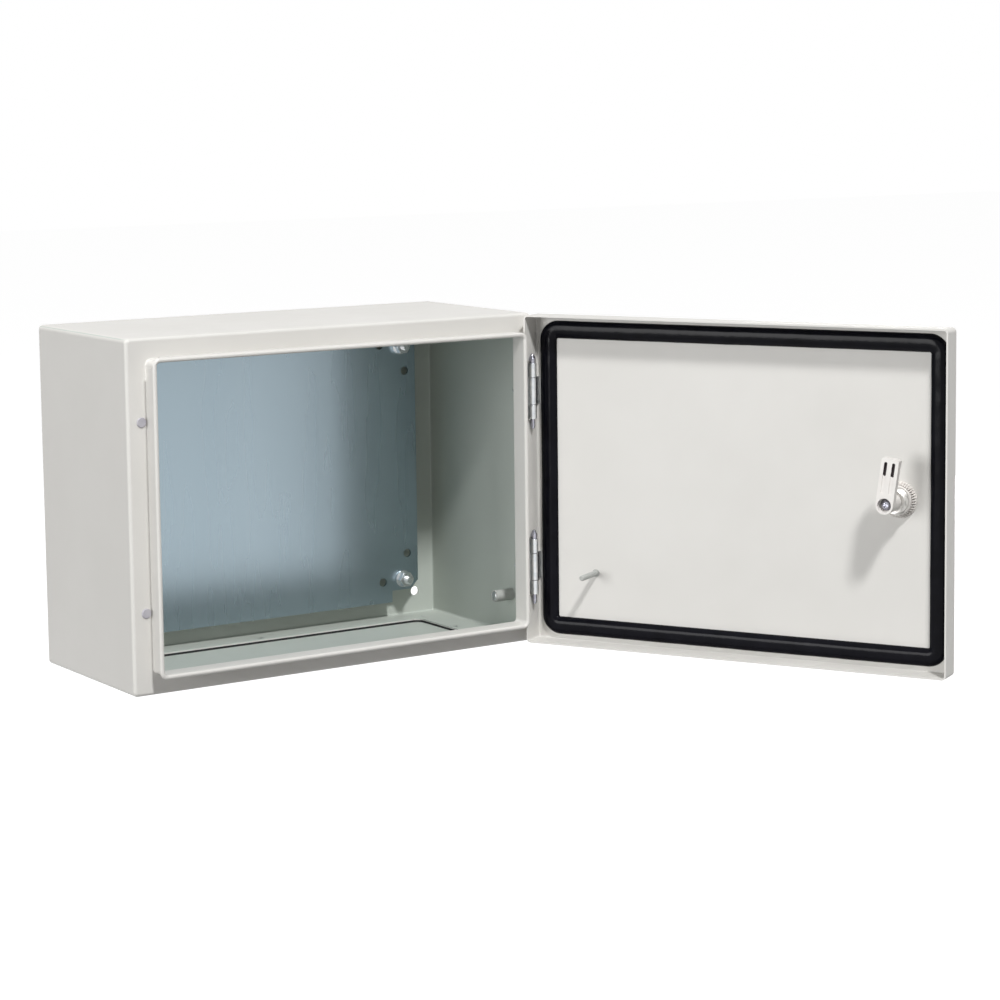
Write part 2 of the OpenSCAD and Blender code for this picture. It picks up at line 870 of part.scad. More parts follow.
module lock_cam() {
    slot_x = 3.5;
    slot_w = 2.8;
    slot_z0 = 25;
    slot_z1 = 37;
    tip_r = 2.5;
    color([0.90, 0.88, 0.86])
        on_lock()
            difference() {
                union() {
                    // Tongue, round at the boss and softened at the tip.
                    rod_y(0, 0, boss_r, boss_y, tongue_y);
                    translate([-tongue_w / 2, tongue_back_y, 0])
                        cube([tongue_w, tongue_t, tongue_len - tip_r]);
                    translate([-tongue_w / 2 + tip_r, tongue_back_y, 0])
                        cube([tongue_w - 2 * tip_r, tongue_t, tongue_len]);
                    for (sx = [-1, 1])
                        rod_y(sx * (tongue_w / 2 - tip_r), tongue_len - tip_r, tip_r,
                            tongue_back_y, tongue_y);
                    // Hook under the tip that reaches behind the flange.
                    translate([-tongue_w / 2 + 1.5, hook_y, tongue_len - 8])
                        cube([tongue_w - 3, tongue_back_y - hook_y, 6]);
                }
                for (sx = [-1, 1]) {
                    // Through slots near the tip, carried on as shallow grooves.
                    for (z = [slot_z0 + slot_w / 2, slot_z1 - slot_w / 2])
                        rod_y(sx * slot_x, z, slot_w / 2, hook_y - 1, tongue_y + 1);
                    translate([sx * slot_x - slot_w / 2, hook_y - 1, slot_z0 + slot_w / 2])
                        cube([slot_w, tongue_y - hook_y + 2, slot_z1 - slot_z0 - slot_w]);
                    translate([sx * slot_x - slot_w / 2, tongue_y - 0.6, 10])
                        cube([slot_w, 2, slot_z0 - 9]);
                }
                rod_y(0, 0, screw_pocket_r, tongue_y - screw_pocket_d, tongue_y + 1);
                translate([-square_side / 2, boss_y - 1, -square_side / 2])
                    cube([square_side, tongue_y - boss_y, square_side]);
            }
}

module lock_screw() {
    y = tongue_y - screw_pocket_d;
    recess = 1.8;
    dome_r = (pow(lock_screw_head_r, 2) + pow(lock_screw_head_h, 2)) / 2 / lock_screw_head_h;
    color([0.80, 0.81, 0.83])
        on_lock()
            difference() {
                union() {
                    intersection() {
                        rod_y(0, 0, lock_screw_head_r, y, y + lock_screw_head_h);
                        translate([0, y + lock_screw_head_h - dome_r, 0])
                            sphere(dome_r);
                    }
                    rod_y(0, 0, lock_screw_r, y - 12, y);
                }
                translate([-0.6, y + lock_screw_head_h - recess, -2.4])
                    cube([1.2, recess + 1, 4.8]);
                translate([-2.4, y + lock_screw_head_h - recess, -0.6])
                    cube([4.8, recess + 1, 1.2]);
            }
}

body_shell();
rear_panel();
gland_seal();
gland_plate();
gland_screws();
plate_studs();
mounting_plate();
plate_washers();
plate_nuts();
body_earth_stud();
flange_plugs();
hinge_bracket_upper();
hinge_bracket_lower();
hinge_screws();
hinge_nuts();
hinge_pin_upper();
hinge_pin_lower();
door_panel();
door_seal();
hinge_leaf_upper();
hinge_leaf_lower();
door_earth_stud();
lock_housing();
lock_seal();
lock_nut();
lock_spindle();
lock_cam();
lock_screw();
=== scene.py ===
# %% [markdown]
# # A steel wall enclosure with its door open
#
# The cabinet is a box folded from one sheet of steel. Round its mouth runs a gutter with
# a hemmed crest, and the door carries a black foam bead that presses on that crest. The
# hard parts come from the CAD model with their sizes and joints. Here they get their
# finishes, and the small pieces that show their making, such as threads, teeth and the
# foam, are worked out as surfaces with numpy.

# %% Load the CAD model
import json
import math

import bmesh
import bpy
import numpy as np
from mathutils import Matrix, Vector


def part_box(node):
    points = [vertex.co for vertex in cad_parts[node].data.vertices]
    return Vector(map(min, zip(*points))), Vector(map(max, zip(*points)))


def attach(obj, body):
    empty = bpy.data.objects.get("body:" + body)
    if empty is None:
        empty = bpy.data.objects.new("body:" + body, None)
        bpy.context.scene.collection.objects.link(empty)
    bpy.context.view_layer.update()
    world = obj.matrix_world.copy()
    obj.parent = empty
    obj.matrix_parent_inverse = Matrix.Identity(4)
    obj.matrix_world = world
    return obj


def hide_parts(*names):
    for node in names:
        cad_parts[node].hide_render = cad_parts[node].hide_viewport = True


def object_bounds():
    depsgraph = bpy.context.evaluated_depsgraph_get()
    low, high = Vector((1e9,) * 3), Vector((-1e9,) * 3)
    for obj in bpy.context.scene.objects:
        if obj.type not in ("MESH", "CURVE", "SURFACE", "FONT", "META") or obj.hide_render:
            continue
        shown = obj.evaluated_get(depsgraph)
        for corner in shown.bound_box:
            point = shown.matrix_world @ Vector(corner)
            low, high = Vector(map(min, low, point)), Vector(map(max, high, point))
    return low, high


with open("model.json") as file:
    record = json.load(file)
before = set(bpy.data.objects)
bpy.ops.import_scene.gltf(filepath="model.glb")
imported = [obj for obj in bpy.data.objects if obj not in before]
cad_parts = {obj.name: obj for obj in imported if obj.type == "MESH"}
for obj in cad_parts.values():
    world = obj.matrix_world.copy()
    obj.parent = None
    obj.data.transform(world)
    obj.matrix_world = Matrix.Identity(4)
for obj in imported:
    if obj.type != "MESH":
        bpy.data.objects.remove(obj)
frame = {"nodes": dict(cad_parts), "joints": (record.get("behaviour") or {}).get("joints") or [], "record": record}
scene = bpy.context.scene
scene.view_settings.view_transform = "Standard"
cad_low, cad_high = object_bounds()
print("CAD box", [round(v, 4) for v in cad_low], [round(v, 4) for v in cad_high])

# %% [markdown]
# ## The camera
#
# The object is seen from the left, slightly from above, with its upright edges almost
# upright. A view camera does this by keeping its film vertical and shifting the lens. The
# camera here looks down by less than seven degrees and leaves the rest to a small shift,
# because a larger one would push the object out of the frame in other views.

# %% Camera
EYE = Vector((-1.17808, -2.23919, 0.35760))
TURN, TILT, ROLL = 0.60426, 0.11527, -0.00864


def camera_axes(turn, tilt, roll):
    """Right, up and forward of a camera that is turned about Z, tilted down and rolled."""
    forward = Vector((
        math.sin(turn) * math.cos(tilt),
        math.cos(turn) * math.cos(tilt),
        -math.sin(tilt),
    ))
    level = Vector((math.cos(turn), -math.sin(turn), 0.0))
    upright = level.cross(forward)
    right = level * math.cos(roll) + upright * math.sin(roll)
    up = upright * math.cos(roll) - level * math.sin(roll)
    return right, up, forward


right, up, forward = camera_axes(TURN, TILT, ROLL)
lens = bpy.data.cameras.new("camera")
lens.sensor_width = 36.0
lens.lens = 99.485
lens.shift_x = -0.075
lens.shift_y = -0.10
lens.clip_end = 60.0
camera = bpy.data.objects.new("camera", lens)
scene.collection.objects.link(camera)
camera.matrix_world = Matrix((
    (right.x, up.x, -forward.x, EYE.x),
    (right.y, up.y, -forward.y, EYE.y),
    (right.z, up.z, -forward.z, EYE.z),
    (0.0, 0.0, 0.0, 1.0),
))
scene.camera = camera
print("camera looks along", [round(v, 3) for v in forward])

# %% [markdown]
# ## Floor, backdrop and light
#
# A cabinet like this hangs on a wall, so the floor lies well below it and only takes a
# soft shadow. The world is white for the camera and for reflections, and lights the
# object at a lower level. A key lamp from the front and above draws the shadow under the
# gutter, a wide lamp on the left fills the side and the door, a third lights the top, and
# a fourth behind the right shoulder keeps the far sides from going dark.

# %% Node helpers
def new_material(name):
    """An empty node material with its output and one Principled shader."""
    material = bpy.data.materials.new(name)
    material.use_nodes = True
    nodes, links = material.node_tree.nodes, material.node_tree.links
    nodes.clear()
    output = nodes.new("ShaderNodeOutputMaterial")
    shader = nodes.new("ShaderNodeBsdfPrincipled")
    links.new(shader.outputs["BSDF"], output.inputs["Surface"])
    return material, nodes, links, shader


def seen_rays(nodes, links):
    """1 for rays from the camera, from a glossy bounce or through glass, otherwise 0."""
    path = nodes.new("ShaderNodeLightPath")
    bounced = nodes.new("ShaderNodeMath")
    bounced.operation = "MAXIMUM"
    links.new(path.outputs["Is Glossy Ray"], bounced.inputs[0])
    links.new(path.outputs["Is Transmission Ray"], bounced.inputs[1])
    either = nodes.new("ShaderNodeMath")
    either.operation = "MAXIMUM"
    links.new(path.outputs["Is Camera Ray"], either.inputs[0])
    links.new(bounced.outputs[0], either.inputs[1])
    return either.outputs[0]


def make_world(lit, seen):
    """World light of strength lit, which the camera and reflections see at strength seen."""
    world = bpy.data.worlds.new("studio")
    scene.world = world
    world.use_nodes = True
    nodes, links = world.node_tree.nodes, world.node_tree.links
    background = nodes["Background"]
    strength = nodes.new("ShaderNodeMapRange")
    strength.inputs["To Min"].default_value = lit
    strength.inputs["To Max"].default_value = seen
    links.new(seen_rays(nodes, links), strength.inputs["Value"])
    background.inputs["Color"].default_value = (1.0, 1.0, 1.0, 1.0)
    links.new(strength.outputs["Result"], background.inputs["Strength"])


make_world(lit=0.18, seen=1.0)
print("world ready")

# %% Floor
def make_floor(height, size, whiteness):
    """A square floor that glows for the camera and for reflections, so it stays pale."""
    mesh = bpy.data.meshes.new("floor")
    s = size / 2
    mesh.from_pydata([(-s, -s, height), (s, -s, height), (s, s, height), (-s, s, height)], [],
                     [(0, 1, 2, 3)])
    floor = bpy.data.objects.new("floor", mesh)
    scene.collection.objects.link(floor)
    material, nodes, links, shader = new_material("pale floor")
    shader.inputs["Base Color"].default_value = (0.30, 0.30, 0.30, 1.0)
    shader.inputs["Roughness"].default_value = 0.9
    shader.inputs["Specular IOR Level"].default_value = 0.0
    glow = nodes.new("ShaderNodeEmission")
    share = nodes.new("ShaderNodeMath")
    share.operation = "MULTIPLY"
    share.inputs[1].default_value = whiteness
    links.new(seen_rays(nodes, links), share.inputs[0])
    links.new(share.outputs[0], glow.inputs["Strength"])
    total = nodes.new("ShaderNodeAddShader")
    links.new(shader.outputs["BSDF"], total.inputs[0])
    links.new(glow.outputs["Emission"], total.inputs[1])
    links.new(total.outputs["Shader"], nodes["Material Output"].inputs["Surface"])
    mesh.materials.append(material)
    return floor


FLOOR_DROP = 0.45
floor_height = cad_low.z - FLOOR_DROP
make_floor(height=floor_height, size=30.0, whiteness=0.93)
print("floor at", round(floor_height, 3))

# %% Lamps
def area_lamp(name, place, target, size, power):
    """A square soft lamp at place, aimed at target."""
    data = bpy.data.lights.new(name, "AREA")
    data.shape = "SQUARE"
    data.size = size
    data.energy = power
    lamp = bpy.data.objects.new(name, data)
    scene.collection.objects.link(lamp)
    lamp.location = place
    aim = Vector(target) - Vector(place)
    lamp.rotation_euler = aim.to_track_quat("-Z", "Y").to_euler()
    return lamp


area_lamp("key lamp", (-0.5, -3.4, 3.8), (0.1, -0.2, 0.0), 0.5, 200.0)
area_lamp("left lamp", (-4.0, -0.9, 0.5), (0.1, -0.3, 0.0), 1.6, 84.0)
area_lamp("top lamp", (0.0, -0.5, 4.0), (0.1, -0.3, 0.0), 1.8, 34.0)
area_lamp("rear lamp", (3.3, 2.8, -0.1), (0.1, 0.0, 0.0), 0.8, 120.0)
print("four lamps")

# %% [markdown]
# ## Powder coat
#
# The paint is baked powder. It flows into a skin with a fine orange peel, about a
# millimetre across, with a soft sheen. Noise in Object coordinates makes the peel as a
# bump, and a second, much larger noise shifts the colour by a hair, as on any big panel.
# Light that bounces between pale walls makes the inside of a box too bright, so painted shade
# is laid on the coat there: it is drawn a little duller and greener inside the box and on the
# top of the lid. A mask in Object coordinates says where.

# %% Powder coat material
# Painted shade: inside the box and on the lid's top the coat's tones are multiplied by this tint.
PAINTED_SHADE_TINT = (0.76, 0.83, 0.80)
THIN_EDGE = 0.0002


def noise(nodes, links, scale, detail=2.0, stretch=(1.0, 1.0, 1.0)):
    """Noise in Object coordinates, scale features a metre, longer where stretch is small."""
    place = nodes.new("ShaderNodeTexCoord")
    mapping = nodes.new("ShaderNodeMapping")
    mapping.inputs["Scale"].default_value = stretch
    texture = nodes.new("ShaderNodeTexNoise")
    texture.inputs["Scale"].default_value = scale
    texture.inputs["Detail"].default_value = detail
    links.new(place.outputs["Object"], mapping.inputs["Vector"])
    links.new(mapping.outputs["Vector"], texture.inputs["Vector"])
    return texture.outputs["Fac"]


def ramp(nodes, links, value, low, high, at=(0.35, 0.65)):
    """A colour ramp from low to high over the part of value between the two stops."""
    node = nodes.new("ShaderNodeValToRGB")
    node.color_ramp.elements[0].position = at[0]
    node.color_ramp.elements[1].position = at[1]
    node.color_ramp.elements[0].color = (*low, 1.0)
    node.color_ramp.elements[1].color = (*high, 1.0)
    links.new(value, node.inputs["Fac"])
    return node.outputs["Color"]


def spread(nodes, links, value, low, high):
    """value, which runs from 0 to 1, carried to the range from low to high."""
    node = nodes.new("ShaderNodeMapRange")
    node.inputs["To Min"].default_value = low
    node.inputs["To Max"].default_value = high
    links.new(value, node.inputs["Value"])
    return node.outputs["Result"]


def bump(nodes, links, height, distance, strength=1.0, under=None):
    """A bump from a height that runs from 0 to 1, distance metres deep."""
    node = nodes.new("ShaderNodeBump")
    node.inputs["Distance"].default_value = distance
    node.inputs["Strength"].default_value = strength
    links.new(height, node.inputs["Height"])
    if under is not None:
        links.new(under, node.inputs["Normal"])
    return node.outputs["Normal"]


def painted_shade_mask(nodes, links, low, high, fade):
    """1 inside a box in Object coordinates, 0 outside it; it rises over fade along each axis."""
    place = nodes.new("ShaderNodeTexCoord")
    axes = nodes.new("ShaderNodeSeparateXYZ")
    links.new(place.outputs["Object"], axes.inputs["Vector"])
    mask = None
    for axis, start, end, width in zip("XYZ", low, high, fade):
        for edge, full in ((start, start + width), (end, end - THIN_EDGE)):
            step = nodes.new("ShaderNodeMapRange")
            step.inputs["From Min"].default_value = edge
            step.inputs["From Max"].default_value = full
            links.new(axes.outputs[axis], step.inputs["Value"])
            if mask is None:
                mask = step.outputs["Result"]
                continue
            both = nodes.new("ShaderNodeMath")
            both.operation = "MULTIPLY"
            links.new(mask, both.inputs[0])
            links.new(step.outputs["Result"], both.inputs[1])
            mask = both.outputs[0]
    return mask


def powder_coat(name, low, high, inside=None):
    """Powder coat; inside is (low corner, high corner, fade) of the box where painted shade makes it duller."""
    material, nodes, links, shader = new_material(name)
    cloud = noise(nodes, links, 9.0, 3.0)
    colour = ramp(nodes, links, cloud, low, high)
    if inside is not None:
        shaded_tones = [tuple(c * t for c, t in zip(tone, PAINTED_SHADE_TINT)) for tone in (low, high)]
        mix = nodes.new("ShaderNodeMix")
        mix.data_type = "RGBA"
        links.new(painted_shade_mask(nodes, links, *inside), mix.inputs["Factor"])
        links.new(colour, mix.inputs["A"])
        links.new(ramp(nodes, links, cloud, *shaded_tones), mix.inputs["B"])
        colour = mix.outputs["Result"]
    links.new(colour, shader.inputs["Base Color"])
    peel = noise(nodes, links, 900.0, 1.0)
    sheen = spread(nodes, links, noise(nodes, links, 60.0), 0.40, 0.52)
    links.new(sheen, shader.inputs["Roughness"])
    links.new(bump(nodes, links, peel, 0.00004, 0.35), shader.inputs["Normal"])
    shader.inputs["Specular IOR Level"].default_value = 0.45
    return material


GREY = ((0.665, 0.652, 0.622), (0.69, 0.677, 0.648))
SHEET, GUTTER = 0.0015, 0.019
paint = powder_coat("light grey powder coat", *GREY)
hollow_low, hollow_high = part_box("body_shell")
half = Vector((SHEET, SHEET, SHEET)) / 2
hollow_low, hollow_high = hollow_low + half + Vector((0, GUTTER, 0)), hollow_high - half
# Two coats with painted shade: one inside the box and its back, one on the top of the lid.
shaded_hollow_paint = powder_coat("powder coat with painted shade in the box", *GREY,
                           (hollow_low, hollow_high, (THIN_EDGE, 0.012, THIN_EDGE)))
lid_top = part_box("gland_plate")[1].z
shaded_lid_paint = powder_coat("powder coat with painted shade on the lid", *GREY,
                        ((-1, -1, lid_top - 2 * THIN_EDGE), (1, 1, 1), (THIN_EDGE,) * 3))
print("paint ready; the hollow runs from", [round(v, 4) for v in hollow_low])

# %% [markdown]
# ## Zinc, galvanised steel, rubber and plastic
#
# Zinc plating is bright but never a mirror: each crystal tilts the reflection a little,
# and the chromate on it leaves a faint blue and yellow. The mounting plate is hot-dip
# sheet, duller and bluer, with long streaks from rolling. Rubber and plastic get their
# tone from roughness, with a small grain in the bump.

# %% Metal materials
def plated(name, low, high, rough, grain, depth, stretch=(1.0, 1.0, 1.0)):
    """Bare or plated metal: tone and roughness change with noise, the grain is a bump."""
    material, nodes, links, shader = new_material(name)
    shader.inputs["Metallic"].default_value = 1.0
    tone = noise(nodes, links, grain * 0.25, 3.0, stretch)
    links.new(ramp(nodes, links, tone, low, high), shader.inputs["Base Color"])
    fine = noise(nodes, links, grain, 2.0, stretch)
    links.new(spread(nodes, links, fine, rough[0], rough[1]), shader.inputs["Roughness"])
    links.new(bump(nodes, links, fine, depth, 0.4), shader.inputs["Normal"])
    return material


zinc = plated("bright zinc", (0.60, 0.63, 0.65), (0.72, 0.73, 0.73),
              (0.22, 0.38), 900.0, 0.00003)
bright = plated("turned steel", (0.30, 0.30, 0.35), (0.42, 0.42, 0.47),
                (0.12, 0.20), 1500.0, 0.00001)
diecast = plated("zinc casting", (0.55, 0.54, 0.52), (0.64, 0.63, 0.60),
                 (0.34, 0.46), 1400.0, 0.00003)
galvanised = plated("galvanised plate", (0.33, 0.41, 0.46), (0.345, 0.425, 0.475),
                    (0.26, 0.29), 60.0, 0.000002, (1.0, 1.0, 0.12))
matte = powder_coat("matte zinc", (0.39, 0.40, 0.38), (0.46, 0.47, 0.45))
print("five metals")


# %% Soft and plastic materials
def moulded(name, low, high, rough, grain, depth):
    """Rubber, foam or plastic: a clouded tone, a grain in the bump and a broad sheen."""
    material, nodes, links, shader = new_material(name)
    cloud = noise(nodes, links, 70.0, 3.0)
    links.new(ramp(nodes, links, cloud, low, high), shader.inputs["Base Color"])
    fine = noise(nodes, links, grain, 3.0)
    links.new(spread(nodes, links, fine, rough[0], rough[1]), shader.inputs["Roughness"])
    links.new(bump(nodes, links, fine, depth, 0.5), shader.inputs["Normal"])
    return material


foam = moulded("black foam skin", (0.003, 0.003, 0.005), (0.005, 0.005, 0.008),
               (0.10, 0.20), 300.0, 0.00012)
foam.node_tree.nodes["Principled BSDF"].inputs["Specular IOR Level"].default_value = 0.07
rubber = moulded("black rubber", (0.010, 0.010, 0.011), (0.018, 0.018, 0.020),
                 (0.5, 0.65), 1200.0, 0.00005)
grey_plastic = moulded("grey plastic", (0.40, 0.39, 0.43), (0.46, 0.45, 0.48),
                       (0.42, 0.52), 1600.0, 0.00003)
# Painted shade for the walls and webs deep in the lock tongue's slots.
painted_shade_recess = moulded("painted shade in recesses", (0.020, 0.012, 0.014), (0.030, 0.018, 0.021),
                      (0.5, 0.6), 1600.0, 0.00003)
light_plastic = moulded("off-white plastic", (0.74, 0.71, 0.68), (0.78, 0.76, 0.73),
                        (0.34, 0.44), 1600.0, 0.00003)
# Painted shade for the roots between the lock nut's wedges.
painted_shade_plastic = moulded("plastic with painted shade", (0.30, 0.27, 0.26), (0.36, 0.33, 0.31),
                         (0.5, 0.6), 1600.0, 0.00003)
print("six soft and plastic materials")

# %% [markdown]
# ## Dressing the CAD parts
#
# A CAD part keeps its mesh and only takes a material, so a table from material slot to
# finish is enough. The record names the slot of every node. The box, its back and the lid
# take the coats with painted shade instead.

# %% Give each node its finish
FINISH = {
    "grey_paint": paint,
    "seal_foam": foam,
    "black_rubber": rubber,
    "zinc_steel": zinc,
    "bright_steel": bright,
    "galvanised_plate": galvanised,
    "grey_plastic": grey_plastic,
    "light_plastic": light_plastic,
    "zinc_diecast": diecast,
}
slots = {part["node"]: part["material_slot"] for part in frame["record"]["subparts"]}
# The box, its back and the lid take the coats with painted shade.
special = {"body_shell": shaded_hollow_paint, "rear_panel": shaded_hollow_paint, "gland_plate": shaded_lid_paint}
for node, thing in frame["nodes"].items():
    thing.data.materials.clear()
    thing.data.materials.append(special.get(node, FINISH[slots[node]]))
print(len(slots), "nodes dressed")

# %% [markdown]
# ## Surfaces from arrays
#
# A small turned part, such as a stud, a nut or a lock barrel, is a profile turned round an
# axis. Written as arrays, a point of the surface depends on two numbers: how far it is
# along the profile and how far round it is. A thread or a ring of teeth is then only a
# term that makes the radius depend on both.

# %% Grid to mesh
def grid_faces(rows, columns, wrap_rows, wrap_columns):
    """Quads of a grid of rows by columns points; a wrapped direction closes on itself."""
    i = np.arange(rows if wrap_rows else rows - 1)
    j = np.arange(columns if wrap_columns else columns - 1)
    i, j = (a.ravel() for a in np.meshgrid(i, j, indexing="ij"))
    i2, j2 = (i + 1) % rows, (j + 1) % columns
    return np.stack([i * columns + j, i * columns + j2, i2 * columns + j2, i2 * columns + j], 1)


def add_piece(name, points, faces, material, body, slot, replaced=()):
    """A mesh piece of four-cornered faces, with its normals turned outwards."""
    mesh = bpy.data.meshes.new(name)
    mesh.from_pydata(points.tolist(), [], faces.tolist())
    shell = bmesh.new()
    shell.from_mesh(mesh)
    bmesh.ops.remove_doubles(shell, verts=shell.verts, dist=1e-7)
    bmesh.ops.recalc_face_normals(shell, faces=shell.faces)
    shell.to_mesh(mesh)
    shell.free()
    mesh.materials.append(material)
    mesh.shade_smooth()
    mesh.set_sharp_from_angle(angle=math.radians(35))
    piece = bpy.data.objects.new(name, mesh)
    scene.collection.objects.link(piece)
    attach(piece, body)
    if replaced:
        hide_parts(*replaced)
    print(name, len(mesh.polygons), "faces")
    return piece


def centres_and_normals(mesh):
    """Centre and normal of every face of a mesh, as two arrays."""
    both = []
    for name in ("center", "normal"):
        values = np.empty(len(mesh.polygons) * 3, np.float32)
        mesh.polygons.foreach_get(name, values)
        both.append(values.reshape(-1, 3))
    return both


def turned(profile, around, origin, axis, side, shape=None):
    """Points of a closed profile of (radius, height) rows turned round an axis.

    Point (i, j) = origin + height_i * axis + radius * (cos a_j * side + sin a_j * across),
    where radius is radius_i, or shape(radius_i, height_i, a_j) for threads and teeth.
    """
    axis, side = (np.array(v) / np.linalg.norm(v) for v in (axis, side))
    across = np.cross(axis, side)
    angle = np.arange(around) * 2 * math.pi / around
    radius, height = np.broadcast_arrays(profile[:, :1], profile[:, 1:])
    radius = np.repeat(radius, around, 1)
    height = np.repeat(height, around, 1)
    angles = np.broadcast_to(angle, radius.shape)
    if shape is not None:
        radius = shape(radius, height, angles)
    points = (
        np.array(origin)
        + height[..., None] * axis
        + (radius * np.cos(angles))[..., None] * side
        + (radius * np.sin(angles))[..., None] * across
    )
    return points.reshape(-1, 3)


def thread_height(height, angle, pitch):
    """Height of a V thread from 0 at its root to 1 at its crest: it climbs one pitch a turn."""
    phase = (height / pitch - angle / (2 * math.pi)) % 1.0
    return np.clip(1.5 * (1.0 - np.abs(2.0 * phase - 1.0)) - 0.15, 0.0, 1.0)

# %% [markdown]
# ## The door's own axes
#
# The door stands open, so nothing on it lies along X or Y. The record says where the hinge
# and the lock turn, and from those two come the directions that the pieces on the door are
# drawn in: along the door, and out of its inner face.

# %% Door axes
MM = 0.001
UP = np.array((0.0, 0.0, 1.0))
joints = {joint["name"]: joint for joint in frame["joints"]}
hinge_at = np.array(joints["door_hinge"]["pos_m"])
lock_at = np.array(joints["lock_turn"]["pos_m"])
inward = -np.array(joints["lock_turn"]["axis"])
along = np.array((-inward[1], inward[0], 0.0))


def reach(node, direction, start):
    """Lowest and highest reach of a CAD node along a direction, measured from start."""
    mesh = frame["nodes"][node].data
    spots = np.empty(len(mesh.vertices) * 3, np.float32)
    mesh.vertices.foreach_get("co", spots)
    length = (spots.reshape(-1, 3) - start) @ direction
    return float(length.min()), float(length.max())


print("door runs along", along.round(3), "and faces", inward.round(3))

# %% [markdown]
# ## The foam bead
#
# The seal is foam that a nozzle pours into the door as it travels once round. It swells
# into a flattened arch, a little uneven along its run, and closes on itself at a small
# knot. The surface is that arch carried round a rectangle with round corners.

# %% Foam bead
SEAL_WIDTH = 15.3 * MM
SEAL_CORNER = 17.5 * MM


def round_rectangle(low, high, corner, per_corner, per_side):
    """Points and inward directions once round a rectangle with round corners.

    A corner point is centre + corner * (cos a, sin a), and its inward direction is
    -(cos a, sin a). The straight sides join the last point of one corner to the first
    point of the next.
    """
    centres = np.array([
        (high[0] - corner, high[1] - corner),
        (low[0] + corner, high[1] - corner),
        (low[0] + corner, low[1] + corner),
        (high[0] - corner, low[1] + corner),
    ])
    turn = np.linspace(0.0, math.pi / 2, per_corner)
    angle = turn[None, :] + np.arange(4)[:, None] * math.pi / 2
    round_way = np.stack([np.cos(angle), np.sin(angle)], -1)
    arcs = centres[:, None, :] + corner * round_way
    share = np.linspace(0.0, 1.0, per_side + 2)[1:-1, None]
    side_start, side_end = arcs[:, -1:], np.roll(arcs, -1, 0)[:, :1]
    sides = side_start + (side_end - side_start) * share
    side_way = np.repeat(round_way[:, -1:], per_side, 1)
    points = np.concatenate([arcs, sides], 1).reshape(-1, 2)
    return points, -np.concatenate([round_way, side_way], 1).reshape(-1, 2)


def slow_waves(turns, waves):
    """A smooth closed wobble between about -1 and 1: a sum of sines of whole numbers of turns."""
    count, share, phase = np.array(waves).T
    return (share * np.sin(2 * math.pi * turns[:, None] * count + phase)).sum(1)


def foam_bead():
    """The arch h = H * (1 - |2t - 1|^3)^(1/2) over its width, t from 0 to 1, carried round.

    H sinks by up to a tenth where the pour was thin, and the arch shifts sideways by a fifth
    of a millimetre, both by slow waves along the run. At the knot, H rises over a few
    millimetres of run. The skin wets the sheet, so the arch is a twentieth wider than the
    solid, all of it on the inner side.
    """
    u0, u1 = reach("door_seal", along, hinge_at)
    z0, z1 = reach("door_seal", UP, hinge_at)
    base, top = reach("door_seal", inward, hinge_at)
    outline, way = round_rectangle((u0, z0), (u1, z1), SEAL_CORNER, 14, 120)
    step = np.linalg.norm(np.roll(outline, -1, 0) - outline, axis=1)
    run = np.concatenate([[0.0], np.cumsum(step)[:-1]])
    turns = run / step.sum()
    sink = slow_waves(turns, [(7, 0.4, 0.3), (16, 0.25, 1.9), (41, 0.2, 4.0), (67, 0.15, 2.2)])
    shift = slow_waves(turns, [(5, 0.35, 2.0), (13, 0.3, 0.4), (29, 0.2, 3.1), (53, 0.15, 5.0)])
    knot = np.exp(-(((turns - 0.62) * step.sum() / (5 * MM)) ** 2))
    height = (top - base) * (0.95 + 0.03 * sink + 0.02 * knot)
    across = 0.5 - 0.5 * np.cos(np.linspace(0.0, math.pi, 17))
    arch = (1.0 - np.abs(2.0 * across - 1.0) ** 3.0) ** 0.5
    across = np.concatenate([across, [0.75, 0.5, 0.25]])
    arch = np.concatenate([arch, [0.0, 0.0, 0.0]])
    inset = SEAL_WIDTH * (1.05 * across)[None, :] + (0.2 * MM * shift)[:, None] * (arch > 0)
    flat = outline[:, None, :] + way[:, None, :] * inset[..., None]
    points = (
        hinge_at
        + flat[..., :1] * along
        + flat[..., 1:] * UP
        + (base + height[:, None] * arch[None, :])[..., None] * inward
    )
    faces = grid_faces(len(outline), len(across), True, True)
    return add_piece("foam_bead", points.reshape(-1, 3), faces, foam, "door", "seal_foam",
                     ["door_seal"])


foam_bead()

# %% [markdown]
# ## Threads
#
# A thread climbs one pitch in each turn, so the height of its flank depends on how far
# along and how far round a point lies. The studs are drawn as bars whose radius drops from
# the crest to the root by that rule, with a collar at the foot and a chamfer at the tip.
# The cabinet's earth stud carries a plain spacer sleeve, which keeps its thread clean.

# %% Threaded studs
def stud_points(foot, axis, side, collar, bar, pitch, around=24):
    """A threaded bar: collar is (radius, height), bar is (radius, height of its tip).

    Radius = bar radius - 0.61 pitch * (1 - thread height), cut off by a cone of 45 degrees
    at the tip.
    """
    radius, length = bar
    rows = int(6 * (length - collar[1]) / pitch)
    heights = np.linspace(collar[1], length, rows)
    profile = np.concatenate([
        [(0.0, 0.0), (collar[0], 0.0), (collar[0], collar[1])],
        np.stack([np.full(rows, radius), heights], 1),
        [(0.0, length)],
    ])

    def shape(r, h, a):
        """The bar's rows lose the thread's depth; the collar's rows stay."""
        cut = 0.61 * pitch * (1.0 - thread_height(h, a, pitch))
        cone = radius - 0.8 * pitch + (length - h)
        return np.where(np.isclose(r, radius), np.minimum(r - cut, cone), r)

    points = turned(profile, around, foot, axis, side, shape)
    return points, grid_faces(len(profile), around, False, True)


def joined(parts):
    """Several (points, faces) pairs as one."""
    shifts = np.cumsum([0] + [len(points) for points, faces in parts[:-1]])
    return (
        np.concatenate([points for points, faces in parts]),
        np.concatenate([faces + shift for (points, faces), shift in zip(parts, shifts)]),
    )


